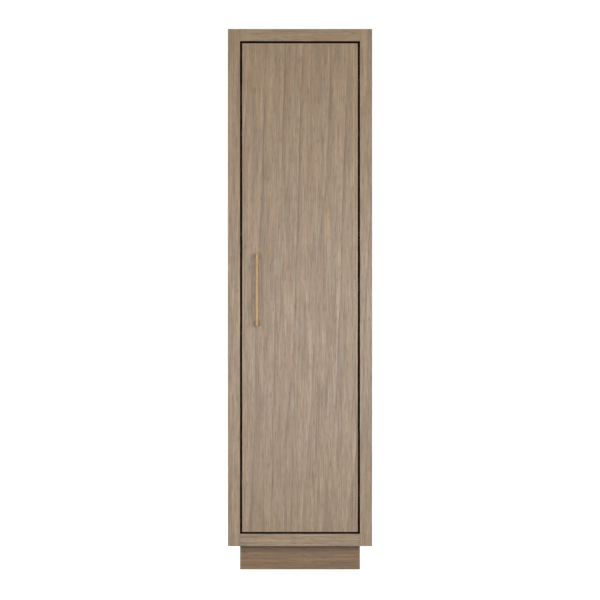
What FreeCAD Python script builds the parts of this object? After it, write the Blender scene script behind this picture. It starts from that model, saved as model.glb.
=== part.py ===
"""A tall one-door storage cabinet with a front frame, in millimetres.

X runs to the right, Y to the back and Z up. The floor is Z = 0 and the door faces -Y.
"""
import FreeCAD, Part
import os
import re
import Sketcher

VECTOR = FreeCAD.Vector
ROTATION = FreeCAD.Rotation
NEAR = 0.001

# Driving dimensions, each on a row of the sheet
DIMENSIONS = {
    # Front frame and carcass
    "cabinet_width": 457,
    "cabinet_depth": 457,
    "cabinet_height": 1715,
    "stile_face": 39,
    "rail_face": 39,
    "frame_thickness": 20,
    "panel_thickness": 18,
    "edge_ease": 0.6,
    "back_thickness": 6,
    "rabbet_width": 9,
    "back_play": 0.5,
    # Dowels and the screws of the back panel
    "dowel_radius": 4,
    "dowel_length": 40,
    "dowel_in_side": 12,
    "frame_dowel_spacing": 20,
    "panel_dowel_margin": 70,
    "back_screw_length": 30,
    "back_screw_radius": 1.75,
    "back_screw_head_radius": 3.5,
    "back_screw_margin": 90,
    # Wall fixing
    "wall_rail_thickness": 18,
    "wall_rail_height": 80,
    "wall_hole_radius": 3,
    "wall_hole_spacing": 256,
    # Plinth and its levelling feet
    "plinth_height": 77,
    "plinth_board": 18,
    "plinth_front_setback": 45,
    "plinth_side_setback": 38,
    "plinth_rear_setback": 25,
    "corner_block_side": 44,
    "pad_to_block": 28,
    "plinth_screw_radius": 2,
    "plinth_screw_head_radius": 4,
    "plinth_screw_head_height": 2.5,
    "plinth_screw_bite": 12,
    "plinth_screw_margin": 9,
    "foot_pad_radius": 15,
    "foot_pad_height": 8,
    "foot_pad_chamfer": 1.5,
    "foot_stud_radius": 4,
    "foot_stud_reach": 6,
    "foot_thread_play": 0.05,
    "insert_wall": 2,
    "insert_length": 20,
    "stud_hole_play": 0.6,
    "stud_hole_end_room": 4,
    # Shelves and their pegs
    "shelf_thickness": 18,
    "shelf_front_setback": 34,
    "shelf_rear_gap": 3,
    "shelf_side_gap": 1,
    "peg_hole_radius": 2.5,
    "peg_hole_depth": 11,
    "peg_hole_pitch": 32,
    "peg_play": 0.05,
    "peg_shank_length": 10,
    "peg_tab_length": 11,
    "peg_tab_width": 10,
    "peg_tab_height": 5,
    "peg_setback": 42,
    # Door and its stops
    "door_thickness": 20,
    "door_gap": 6,
    "stop_overlap": 14,
    "stop_depth": 22,
    "stop_height": 50,
    "stop_end_distance": 175,
    "bumper_radius": 5,
    "bumper_thickness": 2,
    # Cup hinges
    "hinge_end_distance": 110,
    "corner_clearance": 2.7,
    "pin_depth": 7.5,
    "pin_radius": 2,
    "pin_play": 0.05,
    "pin_seat": 3.7,
    "cup_radius": 17.5,
    "cup_floor": 1,
    "eye_floor_gap": 0.5,
    "cup_edge_wall": 3.5,
    "cup_end_wall": 2.5,
    "cup_rim_width": 1,
    "cup_rim_thickness": 1.2,
    "cup_wing_half_width": 8,
    "cup_wing_margin": 6,
    "cup_screw_half_spacing": 24,
    "cup_screw_radius": 1.75,
    "cup_screw_length": 12,
    "cup_screw_head_radius": 3.5,
    "cup_screw_head_height": 2,
    "eye_wall": 1.45,
    "arm_side_play": 0.3,
    "arm_half_height": 7,
    "arm_clearance": 1.7,
    "arm_angle": 140,
    "arm_base_length": 50,
    "strap_thickness": 2.5,
    "plate_thickness": 2,
    "plate_margin": 8,
    "plate_screw_half_spacing": 18,
    "plate_screw_radius": 2,
    "plate_screw_length": 16,
    "plate_screw_head_radius": 4,
    "plate_screw_head_height": 2,
    "clamp_rear_margin": 20,
    "clamp_screw_radius": 2.5,
    "clamp_screw_length": 16,
    "clamp_screw_head_radius": 4.5,
    "clamp_screw_head_height": 2.5,
    "hinge_block_end_margin": 19,
    "hinge_block_rear_margin": 8,
    # Door pull
    "pull_length": 228,
    "pull_projection": 32,
    "pull_bar_radius": 6.3,
    "pull_bar_chamfer": 0.8,
    "pull_post_width": 21,
    "pull_post_height": 14,
    "pull_post_ease": 1,
    "pull_inset": 47.5,
    "pull_rise": 767,
    "pull_screw_radius": 2,
    "pull_screw_bite": 10,
    "pull_screw_head_radius": 4.5,
    "pull_screw_head_height": 2.5,
}

# The shelves from the floor up part the inside into equal heights. All but the fixed one are loose.
SHELVES = ("lower", "fixed", "middle", "upper")
SHELF_LEVELS = {shelf: level for level, shelf in enumerate(SHELVES, 1)}
FIXED_LEVEL = SHELF_LEVELS["fixed"]
LOOSE_SHELVES = {shelf: level for shelf, level in SHELF_LEVELS.items() if level != FIXED_LEVEL}

# Places worked out from the driving dimensions
PLACES = {
    "half_width": "cabinet_width / 2",
    "inner_half": "half_width - panel_thickness",
    "opening_half": "half_width - stile_face",
    "front": "(pull_projection - cabinet_depth) / 2",
    "frame_back": "front + frame_thickness",
    "frame_middle": "front + frame_thickness / 2",
    "back": "front + cabinet_depth",
    "back_inside": "back - back_thickness",
    "opening_bottom": "plinth_height + rail_face",
    "opening_top": "cabinet_height - rail_face",
    "floor_underside": "opening_bottom - panel_thickness",
    "floor_middle": "opening_bottom - panel_thickness / 2",
    "ceiling": "cabinet_height - panel_thickness",
    "ceiling_middle": "cabinet_height - panel_thickness / 2",
    "back_half": "inner_half + rabbet_width - back_play",
    "back_screw_x": "inner_half + rabbet_width / 2",
    "back_screw_head": "back_screw_head_radius - back_screw_radius",
    "wall_hole_height": "ceiling - wall_rail_height / 2",
    "shelf_spacing": f"(ceiling - opening_bottom + shelf_thickness) / {len(SHELVES) + 1}",
    "shelf_front": "max(frame_back; door_back) + shelf_front_setback",
    "shelf_back": "back_inside - shelf_rear_gap",
    "shelf_half": "inner_half - shelf_side_gap",
    "peg_front": "shelf_front + peg_setback",
    "peg_rear": "shelf_back - peg_setback",
    "plinth_half": "half_width - plinth_side_setback",
    "plinth_inner_half": "plinth_half - plinth_board",
    "plinth_front_face": "front + plinth_front_setback",
    "plinth_front_inside": "plinth_front_face + plinth_board",
    "plinth_rear_face": "back - plinth_rear_setback",
    "plinth_rear_inside": "plinth_rear_face - plinth_board",
    "block_underside": "foot_pad_height + pad_to_block",
    "insert_top": "block_underside + insert_length",
    "stud_top": "insert_top + foot_stud_reach",
    "door_half": "opening_half - door_gap",
    "door_bottom": "opening_bottom + door_gap",
    "door_top": "opening_top - door_gap",
    "door_back": "front + door_thickness",
    "stop_front": "door_back + bumper_thickness",
    "stop_low": "opening_bottom + stop_end_distance",
    "stop_high": "opening_top - stop_end_distance",
    # The pin lies so far from the door's edge that its front corner clears the stile as it turns
    "swing_room": "door_gap - corner_clearance",
    "pin_setback": "door_thickness - pin_depth",
    "pin_inset": "(pin_setback ^ 2 - swing_room ^ 2) / (2 * swing_room)",
    "pin_across": "door_half - pin_inset",
    "pin_back": "front + pin_setback",
    "cup_across": "door_half - max(pin_inset; cup_radius + cup_edge_wall)",
    "eye_radius": "pin_radius + pin_play + eye_wall",
    "pin_half_length": "arm_half_height + arm_side_play + pin_seat",
    "cup_bottom": "door_back - pin_depth - eye_radius - eye_floor_gap - cup_floor",
    "cup_slot_half_length": "cup_radius - cup_end_wall",
    "cup_wing_half_length": "cup_screw_half_spacing + cup_wing_margin",
    "cup_face": "door_back + cup_rim_thickness",
    "hinge_low": "door_bottom + hinge_end_distance",
    "hinge_middle": "(door_bottom + door_top) / 2",
    "hinge_high": "door_top - hinge_end_distance",
    # The arm is bent round the path of the door's corner
    "bend_inside": "pin_inset + swing_room + arm_clearance",
    "bend_outside": "bend_inside + strap_thickness",
    "arm_base_front": "pin_back + bend_inside",
    "arm_base_rear": "arm_base_front + arm_base_length",
    "plate_face": "opening_half - plate_thickness",
    "plate_half_height": "plate_screw_half_spacing + plate_margin",
    "hinge_block_half_height": "plate_half_height + hinge_block_end_margin",
    "arm_base_face": "plate_face - strap_thickness",
    "leaf_corner_across": "pin_across + strap_thickness / 2 * sin(arm_angle)",
    "leaf_corner_back": "pin_back - strap_thickness / 2 * cos(arm_angle)",
    "bend_turn": "arm_angle - 90",
    "plate_screw_back": "arm_base_front + arm_base_length / 2",
    "clamp_back": "arm_base_rear - clamp_rear_margin",
    "pull_across": "pull_inset - door_half",
    "pull_middle": "door_bottom + pull_rise",
    "pull_bar_back": "front - pull_projection + pull_bar_radius",
    "pull_post_offset": "(pull_length - pull_post_height) / 2",
}

doc = FreeCAD.newDocument("tall_cabinet")
sheet = doc.addObject("Spreadsheet::Sheet", "sizes")
ROWS = {**DIMENSIONS, **{name: "=" + formula for name, formula in PLACES.items()}}
for row, (name, content) in enumerate(ROWS.items(), 1):
    sheet.set(f"A{row}", name)
    sheet.set(f"B{row}", str(content))
    sheet.setAlias(f"B{row}", name)
doc.recompute()

subparts = []


def size(name):
    """The number in a cell of the sheet."""
    return float(sheet.get(name))


def bind(thing, prop, formula):
    """Tie one property to the sheet, with each name in the formula pointing at its cell."""
    thing.setExpression(prop, re.sub(r"[a-z_]+", lambda word: "sizes." + word.group(), formula))


def place(thing, x, y, z):
    """Tie the place of an object to the sheet."""
    for axis, formula in zip("xyz", (x, y, z)):
        bind(thing, f"Placement.Base.{axis}", formula)


def subpart(thing):
    """Keep an object as one of the cabinet's pieces. Its label names its file."""
    subparts.append(thing)
    return thing


def block(name, x, y, z):
    """A square block between two planes in each direction."""
    box = doc.addObject("Part::Box", name)
    for side, (low, high) in zip(("Length", "Width", "Height"), (x, y, z)):
        bind(box, side, f"({high}) - ({low})")
    place(box, x[0], y[0], z[0])
    return box


AXIS_TURNS = {
    "x": ROTATION(VECTOR(0, 1, 0), 90),
    "y": ROTATION(VECTOR(1, 0, 0), -90),
    "z": ROTATION(),
}


def along(thing, axis, start, centre):
    """Lay a round piece along an axis from its start. The centre gives the other two coordinates."""
    thing.Placement = FreeCAD.Placement(VECTOR(), AXIS_TURNS[axis])
    corner = list(centre)
    corner.insert("xyz".index(axis), start)
    place(thing, *corner)


def rod(name, axis, radius, ends, centre):
    """A round bar along an axis."""
    bar = doc.addObject("Part::Cylinder", name)
    bind(bar, "Radius", radius)
    bind(bar, "Height", f"({ends[1]}) - ({ends[0]})")
    along(bar, axis, ends[0], centre)
    return bar


def cone(name, axis, radii, ends, centre):
    """A cone along an axis, from the first radius to the second."""
    head = doc.addObject("Part::Cone", name)
    bind(head, "Radius1", radii[0])
    bind(head, "Radius2", radii[1])
    bind(head, "Height", f"({ends[1]}) - ({ends[0]})")
    along(head, axis, ends[0], centre)
    return head


def joined(name, pieces):
    """Several solids made one."""
    whole = doc.addObject("Part::MultiFuse", name)
    whole.Shapes = pieces
    whole.Refine = True
    return whole


def group(name, pieces):
    """Separate solids kept together."""
    together = doc.addObject("Part::Compound", name)
    together.Links = pieces
    return together


def cut(name, base, tools):
    """A solid with other solids taken out of it."""
    rest = doc.addObject("Part::Cut", name)
    rest.Base = base
    rest.Tool = tools[0] if len(tools) == 1 else group(name + "_cuts", tools)
    return rest


SIDES = {
    "left": ("XMax", "XMin"),
    "right": ("XMin", "XMax"),
    "front": ("YMax", "YMin"),
    "back": ("YMin", "YMax"),
    "bottom": ("ZMax", "ZMin"),
    "top": ("ZMin", "ZMax"),
}


def on_side(edge, shape, side):
    """Whether an edge lies on one side of a square block."""
    edge_limit, shape_limit = SIDES[side]
    distance = getattr(edge.BoundBox, edge_limit) - getattr(shape.BoundBox, shape_limit)
    return abs(distance) < NEAR


def eased(name, base, pairs, amount="edge_ease"):
    """A block with some edges taken off. Each edge is named by the two sides that meet there."""
    doc.recompute()
    edges = []
    for number, edge in enumerate(base.Shape.Edges, 1):
        if any(all(on_side(edge, base.Shape, side) for side in pair) for pair in pairs):
            edges.append((number, size(amount), size(amount)))
    soft = doc.addObject("Part::Chamfer", name)
    soft.Base = base
    soft.Edges = edges
    return soft


def around(side):
    """The four edges round one side of a block."""
    same_axis = [name for name in SIDES if SIDES[name][0][0] == SIDES[side][0][0]]
    return [(side, other) for other in SIDES if other not in same_axis]


def outline(body, plane, corners):
    """A closed sketch of straight lines whose corners are tied to the sheet."""
    sketch = body.newObject("Sketcher::SketchObject", body.Name + "_outline")
    origin_plane = next(part for part in body.Origin.OriginFeatures if part.Role == plane)
    sketch.AttachmentSupport = (origin_plane, [""])
    sketch.MapMode = "FlatFace"
    count = len(corners)
    turn = ROTATION(VECTOR(0, 0, 1), 360 / count)
    starts = [VECTOR(1, 0, 0)]
    while len(starts) < count:
        starts.append(turn.multVec(starts[-1]))
    for index in range(count):
        sketch.addGeometry(Part.LineSegment(starts[index], starts[(index + 1) % count]), False)
    for index in range(count):
        sketch.addConstraint(Sketcher.Constraint("Coincident", index, 2, (index + 1) % count, 1))
    for index, corner in enumerate(corners):
        for direction, formula in zip(("DistanceX", "DistanceY"), corner):
            number = sketch.addConstraint(Sketcher.Constraint(direction, -1, 1, index, 1, 1))
            bind(sketch, f"Constraints[{number}]", formula)
    return sketch


def padded(name, corners, height):
    """A piece of one outline in plan, raised from the floor."""
    body = doc.addObject("PartDesign::Body", name)
    pad = body.newObject("PartDesign::Pad", name + "_pad")
    pad.Profile = outline(body, "XY_Plane", corners)
    bind(pad, "Length", height)
    return body


def turned(name, corners, x, y):
    """A round piece made by turning its outline about an upright axis."""
    body = doc.addObject("PartDesign::Body", name)
    sketch = outline(body, "XZ_Plane", corners)
    revolution = body.newObject("PartDesign::Revolution", name + "_turning")
    revolution.Profile = sketch
    revolution.ReferenceAxis = (sketch, ["V_Axis"])
    place(body, x, y, "0")
    return body


def pan_screw(name, axis, toward, seat, centre, kind, length):
    """A screw whose flat head stands on its seat and whose shank runs the other way."""
    lift = f"({seat}) + {toward} * {kind}_head_height"
    end = f"({seat}) - {toward} * ({length})"
    head_ends = (seat, lift) if toward > 0 else (lift, seat)
    shank_ends = (end, seat) if toward > 0 else (seat, end)
    head = rod(name + "_head", axis, f"{kind}_head_radius", head_ends, centre)
    shank = rod(name + "_shank", axis, f"{kind}_radius", shank_ends, centre)
    return joined(name, [head, shank])


HANDS = {"left": -1, "right": 1}
ENDS = {"front": 1, "rear": -1}


def sided(hand, near, far):
    """Two distances from the middle as limits along X, on the left or on the right."""
    return (near, far) if HANDS[hand] > 0 else (f"-({far})", f"-({near})")


# Dowels: two in each corner of the front frame, three in each end of the level panels
PANEL_LEVELS = {
    "bottom": "floor_middle",
    "shelf": f"opening_bottom + {FIXED_LEVEL} * shelf_spacing - shelf_thickness / 2",
    "top": "ceiling_middle",
}


def frame_dowel_rods():
    """Dowels across the joints between the rails and the stiles."""
    rods = []
    rails = {"bottom": "plinth_height + rail_face / 2", "top": "cabinet_height - rail_face / 2"}
    for hand in HANDS:
        ends = sided(hand, "opening_half - dowel_length / 2", "opening_half + dowel_length / 2")
        for rail, middle in rails.items():
            for step, sign in (("lower", "-"), ("upper", "+")):
                name = f"frame_dowel_{rail}_{hand}_{step}"
                z = f"{middle} {sign} frame_dowel_spacing / 2"
                rods.append(rod(name, "x", "dowel_radius", ends, ("frame_middle", z)))
    return rods


def panel_dowel_rods():
    """Dowels across the joints between the level panels and the sides."""
    rods = []
    places = {
        "front": "shelf_front + panel_dowel_margin",
        "middle": "(shelf_front + shelf_back) / 2",
        "rear": "shelf_back - panel_dowel_margin",
    }
    for hand in HANDS:
        ends = sided(hand, "inner_half + dowel_in_side - dowel_length", "inner_half + dowel_in_side")
        for level, height in PANEL_LEVELS.items():
            for spot, y in places.items():
                name = f"panel_dowel_{level}_{hand}_{spot}"
                rods.append(rod(name, "x", "dowel_radius", ends, (y, height)))
    return rods


frame_dowels = subpart(group("frame_dowels", frame_dowel_rods()))
panel_dowels = subpart(group("panel_dowels", panel_dowel_rods()))


# Screws through the back panel into the sides and the level panels
BACK_SCREW_ROWS = 6


def back_screw(name, x, z):
    """A countersunk screw, flush with the back."""
    head_ends = ("back - back_screw_head", "back")
    shank_ends = ("back - back_screw_length", "back - back_screw_head")
    head = cone(name + "_head", "y", ("back_screw_radius", "back_screw_head_radius"), head_ends, (x, z))
    shank = rod(name + "_shank", "y", "back_screw_radius", shank_ends, (x, z))
    return joined(name, [head, shank])


def all_back_screws():
    """Rows of screws up both sides, and two into each level panel."""
    screws = []
    height = "(cabinet_height - plinth_height - 2 * back_screw_margin)"
    for hand in HANDS:
        x = sided(hand, "back_screw_x", "back_screw_x")[0]
        for row in range(BACK_SCREW_ROWS):
            z = f"plinth_height + back_screw_margin + {height} * {row} / {BACK_SCREW_ROWS - 1}"
            screws.append(back_screw(f"back_screw_{hand}_{row}", x, z))
        x = sided(hand, "inner_half - back_screw_margin", "inner_half - back_screw_margin")[0]
        for level, z in PANEL_LEVELS.items():
            screws.append(back_screw(f"back_screw_{level}_{hand}", x, z))
    return screws


back_screws = subpart(group("back_panel_screws", all_back_screws()))


# Front frame: stiles run through, rails stand between them
def stile(hand):
    """An upright of the front frame."""
    name = f"frame_stile_{hand}"
    x = sided(hand, "opening_half", "half_width")
    board = block(name + "_board", x, ("front", "frame_back"), ("plinth_height", "cabinet_height"))
    return cut(name, eased(name + "_eased", board, around("front")), [frame_dowels])


def rail(end, z):
    """A level member of the front frame."""
    name = f"frame_rail_{end}"
    board = block(name + "_board", ("-opening_half", "opening_half"), ("front", "frame_back"), z)
    return cut(name, eased(name + "_eased", board, [("front", "top"), ("front", "bottom")]), [frame_dowels])


for hand in HANDS:
    subpart(stile(hand))
subpart(rail("top", ("opening_top", "cabinet_height")))
subpart(rail("bottom", ("plinth_height", "opening_bottom")))


# Shelves, and the pegs that the loose ones lie on
PEG_HOLE_STEPS = (-2, -1, 0, 1, 2)
PEG_ROWS = {"front": "peg_front", "rear": "peg_rear"}


def shelf_underside(level):
    """The height of a shelf's underside."""
    return f"opening_bottom + {level} * shelf_spacing - shelf_thickness"


def peg_height(level):
    """The height of the holes that a shelf's pegs sit in."""
    return shelf_underside(level) + " - peg_tab_height / 2"


def peg_holes(hand):
    """Rows of bored holes in one side, some above and some below each peg."""
    ends = sided(hand, "inner_half", "inner_half + peg_hole_depth")
    holes = []
    for shelf, level in LOOSE_SHELVES.items():
        for row, y in PEG_ROWS.items():
            for number, step in enumerate(PEG_HOLE_STEPS):
                name = f"peg_hole_{hand}_{shelf}_{row}_{number}"
                z = f"{peg_height(level)} + ({step}) * peg_hole_pitch"
                holes.append(rod(name, "x", "peg_hole_radius", ends, (y, z)))
    return holes


def peg(name, hand, y, z):
    """A shelf peg: a round shank in the hole and a flat tab under the shelf."""
    shank_ends = sided(hand, "inner_half", "inner_half + peg_shank_length")
    shank = rod(name + "_shank", "x", "peg_hole_radius - peg_play", shank_ends, (y, z))
    tab_x = sided(hand, "inner_half - peg_tab_length", "inner_half")
    tab_y = (f"({y}) - peg_tab_width / 2", f"({y}) + peg_tab_width / 2")
    tab = block(name + "_tab", tab_x, tab_y, (f"{z} - peg_tab_height / 2", f"{z} + peg_tab_height / 2"))
    return joined(name, [shank, tab])


def all_pegs():
    """Four pegs for each loose shelf."""
    pegs = []
    for shelf, level in LOOSE_SHELVES.items():
        for hand in HANDS:
            for row, y in PEG_ROWS.items():
                pegs.append(peg(f"peg_{shelf}_{hand}_{row}", hand, y, peg_height(level)))
    return pegs


def shelf_board(name, half, back, level):
    """A shelf with its front edges eased."""
    underside = shelf_underside(level)
    z = (underside, underside + " + shelf_thickness")
    board = block(name + "_board", (f"-{half}", half), ("shelf_front", back), z)
    return eased(name + "_eased", board, [("front", "top"), ("front", "bottom")])


subpart(group("shelf_pegs", all_pegs()))
for shelf, level in LOOSE_SHELVES.items():
    loose = shelf_board(f"shelf_{shelf}", "shelf_half", "shelf_back", level)
    loose.Label = f"shelf_{shelf}"
    subpart(loose)
fixed = shelf_board("shelf_fixed", "inner_half", "back_inside", FIXED_LEVEL)
subpart(cut("shelf_fixed", fixed, [panel_dowels, back_screws]))


# Plinth boards, mitred at the front corners, with blocks in the corners
def mirrored(hand, x):
    """A distance from the middle, on the left or on the right."""
    return f"{HANDS[hand]} * ({x})"


subpart(padded("plinth_front", [
    ("-plinth_half", "plinth_front_face"),
    ("plinth_half", "plinth_front_face"),
    ("plinth_inner_half", "plinth_front_inside"),
    ("-plinth_inner_half", "plinth_front_inside"),
], "floor_underside"))
for hand in HANDS:
    subpart(padded(f"plinth_side_{hand}", [
        (mirrored(hand, "plinth_half"), "plinth_front_face"),
        (mirrored(hand, "plinth_half"), "plinth_rear_face"),
        (mirrored(hand, "plinth_inner_half"), "plinth_rear_face"),
        (mirrored(hand, "plinth_inner_half"), "plinth_front_inside"),
    ], "floor_underside"))
subpart(padded("plinth_rear", [
    ("-plinth_inner_half", "plinth_rear_inside"),
    ("plinth_inner_half", "plinth_rear_inside"),
    ("plinth_inner_half", "plinth_rear_face"),
    ("-plinth_inner_half", "plinth_rear_face"),
], "floor_underside"))


def corner_places(end, hand, distance):
    """A point in a corner of the plinth, the same distance from both boards."""
    y = "plinth_front_inside" if end == "front" else "plinth_rear_inside"
    return mirrored(hand, f"plinth_inner_half - {distance}"), f"{y} + {ENDS[end]} * ({distance})"


def levelling_foot(name, x, y):
    """A pad with a threaded stud. It stands flush with the plinth when it is screwed right in."""
    return turned(name, [
        ("0", "0"),
        ("foot_pad_radius - foot_pad_chamfer", "0"),
        ("foot_pad_radius", "foot_pad_chamfer"),
        ("foot_pad_radius", "foot_pad_height"),
        ("foot_stud_radius", "foot_pad_height"),
        ("foot_stud_radius", "stud_top"),
        ("0", "stud_top"),
    ], x, y)


inserts = []
plinth_screws = []
corner_boards = {}
for end in ENDS:
    for hand in HANDS:
        corner = f"{end}_{hand}"
        foot_x, foot_y = corner_places(end, hand, "corner_block_side / 2")
        screw_x, screw_y = corner_places(end, hand, "plinth_screw_margin")
        inner_x, inner_y = corner_places(end, hand, "corner_block_side")
        x = sided(hand, "plinth_inner_half - corner_block_side", "plinth_inner_half")
        y = ("plinth_front_inside", inner_y) if end == "front" else (inner_y, "plinth_rear_inside")
        board = block(f"corner_board_{corner}", x, y, ("block_underside", "floor_underside"))
        barrel_radius = "foot_stud_radius + foot_thread_play + insert_wall"
        insert_ends = ("block_underside", "insert_top")
        barrel = rod(f"insert_barrel_{corner}", "z", barrel_radius, insert_ends, (foot_x, foot_y))
        thread_radius = "foot_stud_radius + foot_thread_play"
        thread = rod(f"insert_thread_{corner}", "z", thread_radius, insert_ends, (foot_x, foot_y))
        inserts.append(cut(f"insert_{corner}", barrel, [thread]))
        hole_ends = ("insert_top", "stud_top + stud_hole_end_room")
        hole_radius = "foot_stud_radius + stud_hole_play"
        stud_hole = rod(f"stud_hole_{corner}", "z", hole_radius, hole_ends, (foot_x, foot_y))
        length = "floor_underside - block_underside + plinth_screw_bite"
        screw = pan_screw(
            f"screw_{corner}", "z", -1, "block_underside", (screw_x, screw_y), "plinth_screw", length)
        plinth_screws.append(screw)
        subpart(cut(f"plinth_block_{corner}", board, [barrel, stud_hole, screw]))
        subpart(levelling_foot(f"levelling_foot_{corner}", foot_x, foot_y))
subpart(group("foot_inserts", inserts))
plinth_screw_group = subpart(group("plinth_screws", plinth_screws))


# Carcass panels
def side_panel(hand):
    """A side, rabbeted at the rear for the back panel and bored for dowels and pegs."""
    name = f"side_panel_{hand}"
    height = ("plinth_height", "cabinet_height")
    board = block(name + "_board", sided(hand, "inner_half", "half_width"), ("frame_back", "back"), height)
    soft = eased(name + "_eased", board, [(hand, "top"), (hand, "bottom"), (hand, "back")])
    rabbet_x = sided(hand, "inner_half", "inner_half + rabbet_width")
    rabbet = block(name + "_rabbet", rabbet_x, ("back_inside", "back"), height)
    holes = group(name + "_peg_holes", peg_holes(hand))
    return cut(name, soft, [rabbet, holes, panel_dowels, back_screws])


def level_panel(name, z, fasteners):
    """The top or the bottom of the carcass, between the sides."""
    board = block(name + "_board", ("-inner_half", "inner_half"), ("frame_back", "back_inside"), z)
    return cut(name, board, fasteners)


for hand in HANDS:
    subpart(side_panel(hand))
subpart(level_panel("top_panel", ("ceiling", "cabinet_height"), [panel_dowels, back_screws]))
floor_fasteners = [panel_dowels, back_screws, plinth_screw_group]
subpart(level_panel("bottom_panel", ("floor_underside", "opening_bottom"), floor_fasteners))

# Back panel and wall rail share the two holes for fixing to a wall
wall_holes = []
for hand in HANDS:
    ends = ("back_inside - wall_rail_thickness", "back")
    centre = (mirrored(hand, "wall_hole_spacing / 2"), "wall_hole_height")
    wall_holes.append(rod(f"wall_hole_{hand}", "y", "wall_hole_radius", ends, centre))
back_board = block(
    "back_board", ("-back_half", "back_half"), ("back_inside", "back"), ("plinth_height", "cabinet_height"))
subpart(cut("back_panel", back_board, [back_screws] + wall_holes))
rail_board = block(
    "wall_rail_board", ("-inner_half", "inner_half"), ("back_inside - wall_rail_thickness", "back_inside"),
    ("ceiling - wall_rail_height", "ceiling"))
subpart(cut("wall_rail", rail_board, wall_holes))


# Cup hinges: the cup and the pin turn with the door, the arm and its plate stay on the carcass
HINGES = {"lower": "hinge_low", "middle": "hinge_middle", "upper": "hinge_high"}
PIN_AXIS = ("pin_across", "pin_back")


def about(middle, half):
    """Limits at the same distance below and above a height."""
    return f"({middle}) - ({half})", f"({middle}) + ({half})"


def arm_strap(name, height):
    """A bent strap: an eye on the pin, a leaf out of the cup, a bend and a base on the plate."""
    eye = rod(name + "_eye", "z", "eye_radius", height, PIN_AXIS)
    leaf = doc.addObject("Part::Box", name + "_leaf")
    bind(leaf, "Length", "bend_outside")
    bind(leaf, "Width", "strap_thickness")
    bind(leaf, "Height", "2 * arm_half_height")
    leaf.Placement = FreeCAD.Placement(VECTOR(), ROTATION(VECTOR(0, 0, 1), size("arm_angle")))
    place(leaf, "leaf_corner_across", "leaf_corner_back", height[0])
    sector = rod(name + "_sector", "z", "bend_outside", height, PIN_AXIS)
    bind(sector, "Angle", "bend_turn")
    sector.Placement = FreeCAD.Placement(VECTOR(), ROTATION(VECTOR(0, 0, 1), 90))
    bend = cut(name + "_bend", sector, [rod(name + "_hollow", "z", "bend_inside", height, PIN_AXIS)])
    run_y = ("arm_base_front", "arm_base_front + strap_thickness")
    run = block(name + "_run", ("pin_across", "plate_face"), run_y, height)
    base_y = ("arm_base_front", "arm_base_rear")
    base = block(name + "_base", ("arm_base_face", "plate_face"), base_y, height)
    return joined(name + "_strap", [eye, leaf, bend, run, base])


def hinge_arm(hinge, z, clamp):
    """The arm, bored for the pin and for the screw that clamps it to the plate."""
    name = f"hinge_arm_{hinge}"
    height = about(z, "arm_half_height")
    bore = rod(name + "_bore", "z", "pin_radius + pin_play", height, PIN_AXIS)
    return cut(name, arm_strap(name, height), [bore, clamp])


def hinge_plate(hinge, z, fixings):
    """The flat plate under the arm's base."""
    name = f"hinge_plate_{hinge}"
    y = ("arm_base_front", "arm_base_rear")
    height = about(z, "plate_half_height")
    return cut(name, block(name + "_blank", ("plate_face", "opening_half"), y, height), fixings)


def hinge_block(hinge, z, fixings):
    """A packing block that brings the plate out to the edge of the stile."""
    name = f"hinge_block_{hinge}"
    y = ("frame_back", "arm_base_rear + hinge_block_rear_margin")
    height = about(z, "hinge_block_half_height")
    return cut(name, block(name + "_blank", ("opening_half", "inner_half"), y, height), fixings)


def hinge_cup(hinge, z, recess, fixings):
    """The cup in the door, with its rim, two wings on the door's inner face and a slot for the arm."""
    name = f"hinge_cup_{hinge}"
    rim_ends = ("door_back", "cup_face")
    rim = rod(name + "_rim", "y", "cup_radius + cup_rim_width", rim_ends, ("cup_across", z))
    wing_x = about("cup_across", "cup_wing_half_width")
    wings = block(name + "_wings", wing_x, rim_ends, about(z, "cup_wing_half_length"))
    slot_x = about("cup_across", "cup_slot_half_length")
    slot_y = ("cup_bottom + cup_floor", "cup_face")
    slot = block(name + "_slot", slot_x, slot_y, about(z, "arm_half_height + arm_side_play"))
    return cut(name, joined(name + "_body", [recess, rim, wings]), [slot] + fixings)


def screw_pair(kind, axis, toward, seat, across, z):
    """Two screws, one below and one above a height."""
    screws = []
    for step, screw_z in zip(("lower", "upper"), about(z, f"{kind}_half_spacing")):
        name = f"{kind}_{z}_{step}"
        screws.append(pan_screw(name, axis, toward, seat, (across, screw_z), kind, f"{kind}_length"))
    return screws


plate_screws = []
clamp_screws = []
cup_screws = []
cup_recesses = []
for hinge, z in HINGES.items():
    pin = subpart(rod(f"hinge_pin_{hinge}", "z", "pin_radius", about(z, "pin_half_length"), PIN_AXIS))
    clamp = pan_screw(
        f"clamp_{z}", "x", -1, "arm_base_face", ("clamp_back", z), "clamp_screw", "clamp_screw_length")
    fixings = screw_pair("plate_screw", "x", -1, "plate_face", "plate_screw_back", z)
    subpart(hinge_arm(hinge, z, clamp))
    subpart(hinge_plate(hinge, z, [clamp] + fixings))
    subpart(hinge_block(hinge, z, [clamp] + fixings))
    holders = screw_pair("cup_screw", "y", 1, "cup_face", "cup_across", z)
    recess = rod(f"cup_recess_{hinge}", "y", "cup_radius", ("cup_bottom", "door_back"), ("cup_across", z))
    subpart(hinge_cup(hinge, z, recess, [pin] + holders))
    clamp_screws.append(clamp)
    plate_screws.extend(fixings)
    cup_screws.extend(holders)
    cup_recesses.append(recess)
subpart(group("hinge_plate_screws", plate_screws))
subpart(group("hinge_arm_screws", clamp_screws))
cup_screw_group = subpart(group("hinge_cup_screws", cup_screws))


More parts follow.
